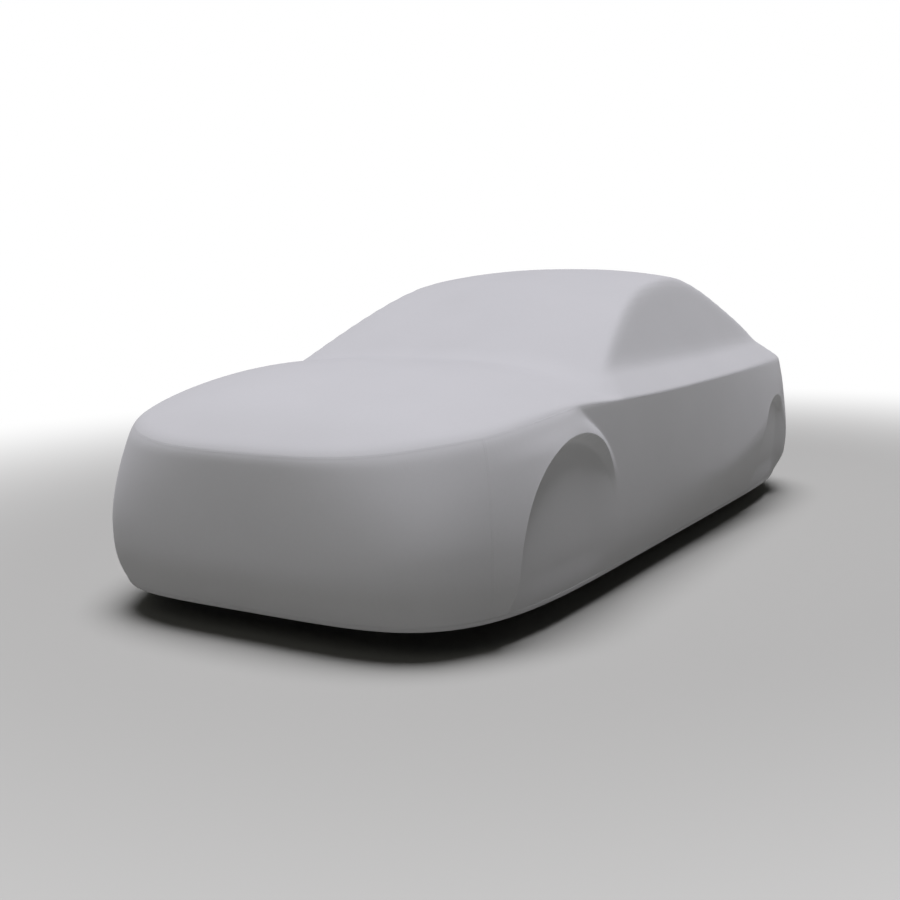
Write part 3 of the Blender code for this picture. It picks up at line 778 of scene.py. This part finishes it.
def top_faces(u, t):
    """The top's outer and inner faces, whole width."""
    below, above, _ = lengths_at(u)
    inside = (t - 1) * np.where(t < 1, below, above)
    rise = lap_rise(inside) + side_lap_over(u) * (1 - ease(*LAP_FALL, inside))
    thick = LAP_CLOTH + (CLOTH - LAP_CLOTH) * ease(*LAP_FALL, inside)
    outer, inner = both_faces(u, t, rise, thick)
    return mirrored(outer, 0), mirrored(inner, 0)


outer, inner = top_faces(top_u, top_t)
top_cloth = closed_sheet("top_panel_cloth", outer, inner, outer[..., [1, 0]])
print("top panel:", len(top_cloth.data.polygons), "faces")

# %% [markdown]
# ## The skirt's panels
#
# Three kinds of panel make the skirt: one round the nose, one round the tail, and one along each side. The
# nose and tail panels go round the middle without a break. A side panel is made once and mirrored.

# %% Skirt panels


def skirt_faces(u, t, inside):
    """A skirt panel's outer and inner faces; `inside` is how far each place is inside its own seams."""
    height = t * lengths_at(u)[0]
    half = hem_half(height)
    rise = half - CLOTH / 2 + lap_rise(inside)
    thick = LAP_CLOTH + (2 * half - LAP_CLOTH) * ease(*LAP_FALL, inside)
    return both_faces(u, t, rise, thick)


def cloth_places(u, t):
    """Metres round the cover and metres up the skirt."""
    return np.stack([u * HALF_ROUND, t * lengths_at(u)[0]], axis=-1)


def end_panel(name, start, end):
    """The panel round the nose or the tail: from the centre line to a seam, and the mirror of that."""
    u = spaced(start, end, END_PITCH, NEAR_EDGE, NEAR_EDGE)[None] / HALF_ROUND
    t = skirt_rows(u[0], END_PITCH)
    u = np.broadcast_to(u, t.shape)
    outer, inner = skirt_faces(u, t, np.ones(t.shape))
    places = cloth_places(u, t)
    if u[0, 0] < 0.5:
        outer, inner, places = outer[:, ::-1], inner[:, ::-1], places[:, ::-1]
    other = places[:, -2::-1] * np.array([-1.0, 1.0])
    if u[0, 0] >= 0.5:
        other = np.stack([2 * HALF_ROUND - places[:, -2::-1, 0], places[:, -2::-1, 1]], axis=-1)
    places = np.concatenate([places, other], axis=1)
    return closed_sheet(name, mirrored(outer, 1), mirrored(inner, 1), places)


front_cloth = end_panel("front_panel_cloth", 0.0, FRONT_SEAM - UNDER_LAP)
rear_cloth = end_panel("rear_panel_cloth", REAR_SEAM + UNDER_LAP, HALF_ROUND)

side_u, side_t = drawn_to_lips(side_u, side_t)
side_outer, side_inner = skirt_faces(side_u, side_t, inside_seams(side_u))
side_places = cloth_places(side_u, side_t)
side_cloths = []
for side, turn in (("left", 1.0), ("right", MIRROR)):
    name = "side_panel_" + side + "_cloth"
    side_cloths.append(closed_sheet(name, side_outer * turn, side_inner * turn, side_places))
for cloth in (front_cloth, rear_cloth, *side_cloths):
    print(cloth.name, len(cloth.data.polygons), "faces")

# %% [markdown]
# ## Stitching
#
# Each seam has two rows of stitches on its lap, and the hem has one row just under the band's top. The
# rows follow the same surface as the cloth, lifted by the lap or the bead that they lie on.

# %% Stitch rows
LAP_ROWS = (0.002 - LAP, -0.0015)  # metres inside the seam line
HEM_ROW = HEM_BAND - 0.004
BEAD_OUT = float(hem_half(HEM_ROW)) - CLOTH / 2
ROW_END = 0.002  # a row up a seam stops this far from the hem's band and from the top's lap
LONG_ROW, SHORT_ROW = 1500, 200  # points along a row


def along_shoulder(inside):
    """A row on the top's lap, all round one half."""
    u = np.linspace(0, 1, LONG_ROW)
    rise = lap_rise(inside) + side_lap_over(u)
    return on_both_sides(*stitch_row(u, from_shoulder(u, inside), rise))


def along_hem(start, end):
    """A row on the hem's bead, between two places round one half."""
    u = np.linspace(start, end, LONG_ROW) / HALF_ROUND
    return stitch_row(u, HEM_ROW / lengths_at(u)[0], BEAD_OUT)


def up_seam(seam, way, inside):
    """A row on a side panel's lap, from the band of the hem up to under the top's lap."""
    u = (seam + way * inside) / HALF_ROUND
    below = lengths_at(u)[0]
    t = np.linspace((HEM_BAND + ROW_END) / below, 1 - (LAP + ROW_END) / below, SHORT_ROW)
    return stitch_row(u, t, LAP_RISE)


shoulder_rows = [row for inside in LAP_ROWS for row in along_shoulder(inside)]
front_rows = on_both_sides(*along_hem(0, FRONT_SEAM - LAP))
rear_rows = on_both_sides(*along_hem(REAR_SEAM + LAP, HALF_ROUND))
top_stitches = make_stitches("top_panel_stitches", shoulder_rows)
front_stitches = make_stitches("front_panel_stitches", front_rows)
rear_stitches = make_stitches("rear_panel_stitches", rear_rows)
side_rows = [on_both_sides(*along_hem(FRONT_SEAM - LAP, REAR_SEAM + LAP))]
for seam, way in ((FRONT_SEAM, 1), (REAR_SEAM, -1)):
    side_rows += [on_both_sides(*up_seam(seam, way, inside)) for inside in LAP_ROWS]
left_rows, right_rows = zip(*side_rows)
side_stitches = [
    make_stitches("side_panel_left_stitches", left_rows),
    make_stitches("side_panel_right_stitches", right_rows),
]
print("stitches on the top's seam:", len(top_stitches.data.polygons) // 8)

# %% [markdown]
# ## Stretch knit
#
# The cloth is a fine-gauge polyester and elastane knit with a brushed face. Its loops are under a
# millimetre, so from a step away it has no visible grain: it is matte, and a little paler at grazing
# angles, where the brushed fibres stand up. A rough diffuse surface with a soft sheen gives that. The
# knit's columns are drawn 6 mm wide, many times too coarse, so that a close view still shows them.

# %% Materials
CLOTH_HEX, THREAD_HEX, FLOOR_HEX = "#a8a8a8", "#9e9e9e", "#979792"
UNEVEN = 0.06  # the share by which the cloth's tone goes up and down
CLOUD_SCALE, NAP_SCALE = 2.2, 90.0  # the sizes of its soft patches and of its nap, per metre
NAP_SHARE = 0.35
KNIT_COLUMN = 0.006  # metres
KNIT_DEPTH, KNIT_STRENGTH = 0.0004, 0.15
WAVE_UNIT = 2 * math.pi / 20  # Blender's bands repeat at this length when their scale is 1


def linear(code):
    """An sRGB hex colour as linear red, green and blue."""
    values = np.array([int(code[k : k + 2], 16) for k in (1, 3, 5)]) / 255
    return np.where(values <= 0.04045, values / 12.92, ((values + 0.055) / 1.055) ** 2.4)


def add(tree, kind, inputs=(), links=(), **settings):
    """Adds a node, sets its settings and inputs, and links other nodes' outputs into it."""
    node = tree.nodes.new(kind)
    for key, value in settings.items():
        setattr(node, key, value)
    for key, value in dict(inputs).items():
        node.inputs[key].default_value = value
    for key, output in dict(links).items():
        tree.links.new(output, node.inputs[key])
    return node


def new_material(name, roughness, sheen):
    """A dull Principled material with its constant values on the shader's own sockets."""
    material = bpy.data.materials.new(name)
    material.use_nodes = True
    shader = material.node_tree.nodes["Principled BSDF"]
    shader.inputs["Roughness"].default_value = roughness
    shader.inputs["Specular IOR Level"].default_value = 0.25
    shader.inputs["Sheen Weight"].default_value = sheen
    shader.inputs["Sheen Roughness"].default_value = 0.6
    return material, material.node_tree, shader


def knit_material():
    """Grey cloth with a faintly uneven tone and the knit's columns as a shallow bump."""
    material, tree, shader = new_material("brushed_stretch_knit", 0.92, 0.12)
    place = add(tree, "ShaderNodeTexCoord")
    on_cloth = {"Vector": place.outputs["Object"]}
    cloudy = add(tree, "ShaderNodeTexNoise", {"Scale": CLOUD_SCALE, "Detail": 2.0}, on_cloth)
    nap = add(tree, "ShaderNodeTexNoise", {"Scale": NAP_SCALE, "Detail": 3.0}, on_cloth)
    tones = {2: cloudy.outputs[0], 3: nap.outputs[0]}
    tone = add(tree, "ShaderNodeMix", {"Factor": NAP_SHARE}, tones, data_type="FLOAT")
    base = linear(CLOTH_HEX)
    shades = {6: (*(base * (1 - UNEVEN)), 1.0), 7: (*(base * (1 + UNEVEN)), 1.0)}
    colour = add(tree, "ShaderNodeMix", shades, {"Factor": tone.outputs[0]}, data_type="RGBA")
    tree.links.new(colour.outputs[2], shader.inputs["Base Color"])
    columns = add(
        tree,
        "ShaderNodeTexWave",
        {"Scale": WAVE_UNIT / KNIT_COLUMN, "Distortion": 0.6, "Detail Scale": 40.0},
        {"Vector": place.outputs["UV"]},
        bands_direction="X",
    )
    relief = {"Strength": KNIT_STRENGTH, "Distance": KNIT_DEPTH}
    bump = add(tree, "ShaderNodeBump", relief, {"Height": columns.outputs["Fac"]})
    tree.links.new(bump.outputs[0], shader.inputs["Normal"])
    return material


def thread_material():
    """The seams' matching thread, a little darker than the cloth."""
    material, _, shader = new_material("spun_polyester_thread", 0.8, 0.1)
    shader.inputs["Base Color"].default_value = (*linear(THREAD_HEX), 1.0)
    return material


knit, thread = knit_material(), thread_material()
print("knit's linear base colour:", linear(CLOTH_HEX).round(3))

# %% [markdown]
# ## Putting the pieces on the frame
#
# Every panel stands for the solids that it was modelled over and rides on the part's one body.
# Stretch covers are cut a little small, so the worn cloth measures a few per cent more than the flat one.

# %% Pieces, their solids and their flat sizes
# Width and length that each panel was cut to, in metres, and its area in square metres.
TOP_FLAT, FRONT_FLAT = ((2.30, 5.00), 8.58), ((1.80, 0.67), 1.17)
REAR_FLAT, SIDE_FLAT = ((2.10, 0.80), 1.62), ((0.75, 3.75), 2.62)


def dress(cloth, stitches, nodes, flat, area, rests_on):
    for piece, material in ((cloth, knit), (stitches, thread)):
        piece.data.materials.append(material)
        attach(piece, "root")
    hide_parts(*nodes)


skirt_names = [cloth.name for cloth in (front_cloth, rear_cloth, *side_cloths)]
top_nodes = ["front_deck_panel", "cabin_panel", "rear_deck_panel"]
dress(top_cloth, top_stitches, top_nodes, *TOP_FLAT, skirt_names)
dress(front_cloth, front_stitches, ["front_panel"], *FRONT_FLAT, [top_cloth.name])
dress(rear_cloth, rear_stitches, ["rear_panel"], *REAR_FLAT, [top_cloth.name])
for cloth, stitches, side in zip(side_cloths, side_stitches, ("left", "right")):
    dress(cloth, stitches, ["side_panel_" + side], *SIDE_FLAT, [top_cloth.name])

# %% [markdown]
# ## Floor and light
#
# The cover stands under a broad, even light, like a bright overcast sky overhead: level cloth is light,
# steep cloth is mid grey, and there is no hard shadow. A sun lamp with a wide disc gives that, and lights
# the floor evenly. Two weak, broad lights, one from ahead and one from beside the tail, keep the nose and
# the rear from going flat. The floor is a dull, pale grey sheet. A few metres out it goes over to the
# plain white background, as the sweep of a studio backdrop does, so there is no horizon. It stays grey
# next to the cover, because a white floor would light the skirt from below and flatten it.

# %% Stage
BACKGROUND = 1.0  # the level of the plain background, which the floor fades into
FLOOR_HALF = 60.0  # half the floor's side, in metres
FLOOR_FADE = (3.3, 9.0)  # metres from the middle, along the cover's length
FLOOR_OVAL = (1.4, 1.0, 1.0)  # across it the fade comes sooner by this
SKY_LEVEL = 0.05  # the even light from all round
SUN_DISC = math.radians(40)
DAYLIGHT, LAMPLIGHT = (1.0, 0.988, 1.068), (1.0, 0.99, 0.94)


def make_floor():
    """A level sheet whose diffuse grey goes over to the background's level away from the middle."""
    corners = np.array([(-1, -1, 0), (1, -1, 0), (1, 1, 0), (-1, 1, 0)]) * FLOOR_HALF
    floor = make_mesh("floor", corners + (0, 0, GROUND_Z), np.array([[0, 1, 2, 3]]), corners[:, :2])
    material, tree, shader = new_material("pale_floor", 0.95, 0.0)
    shader.inputs["Base Color"].default_value = (*linear(FLOOR_HEX), 1.0)
    place = add(tree, "ShaderNodeTexCoord")
    on_floor = {0: place.outputs["Object"]}
    oval = add(tree, "ShaderNodeVectorMath", {1: FLOOR_OVAL}, on_floor, operation="MULTIPLY")
    middle = add(tree, "ShaderNodeVectorMath", {}, {0: oval.outputs[0]}, operation="LENGTH")
    fade = add(
        tree,
        "ShaderNodeMapRange",
        {"From Min": FLOOR_FADE[0], "From Max": FLOOR_FADE[1]},
        {"Value": middle.outputs["Value"]},
        interpolation_type="SMOOTHSTEP",
    )
    glow = add(tree, "ShaderNodeEmission", {"Strength": BACKGROUND})
    shaders = {"Fac": fade.outputs["Result"], 1: shader.outputs[0], 2: glow.outputs[0]}
    blend = add(tree, "ShaderNodeMixShader", {}, shaders)
    tree.links.new(blend.outputs[0], tree.nodes["Material Output"].inputs["Surface"])
    floor.data.materials.append(material)


def make_light(name, kind, energy, colour, location, target, **settings):
    """A lamp at a place, aimed at another."""
    data = bpy.data.lights.new(name, kind)
    data.energy = energy
    data.color = colour
    for key, value in settings.items():
        setattr(data, key, value)
    light = bpy.data.objects.new(name, data)
    light.location = location
    light.rotation_euler = (Vector(target) - Vector(location)).to_track_quat("-Z", "Y").to_euler()
    bpy.context.scene.collection.objects.link(light)


def make_world():
    """A weak white light from all round, behind which the background looks plain white."""
    world = bpy.data.worlds.new("studio")
    world.use_nodes = True
    tree = world.node_tree
    background = tree.nodes["Background"]
    background.inputs["Color"].default_value = (1.0, 1.0, 1.0, 1.0)
    seen = add(tree, "ShaderNodeLightPath").outputs["Is Camera Ray"]
    levels = {2: SKY_LEVEL, 3: BACKGROUND}
    level = add(tree, "ShaderNodeMix", levels, {"Factor": seen}, data_type="FLOAT")
    tree.links.new(level.outputs[0], background.inputs["Strength"])
    bpy.context.scene.world = world


make_floor()
make_light("overhead", "SUN", 4.45, DAYLIGHT, (0, 0, 5), (0, 0, 0), angle=SUN_DISC)
make_light("ahead", "AREA", 42, LAMPLIGHT, (0.5, -9.0, 4.0), (0, -3, -0.8), size=4.0)
make_light("beside", "AREA", 4, LAMPLIGHT, (3.2, 2.6, 0.9), (0.6, 0.3, -0.6), size=2.0)
make_world()
bpy.context.scene.view_settings.view_transform = "Standard"
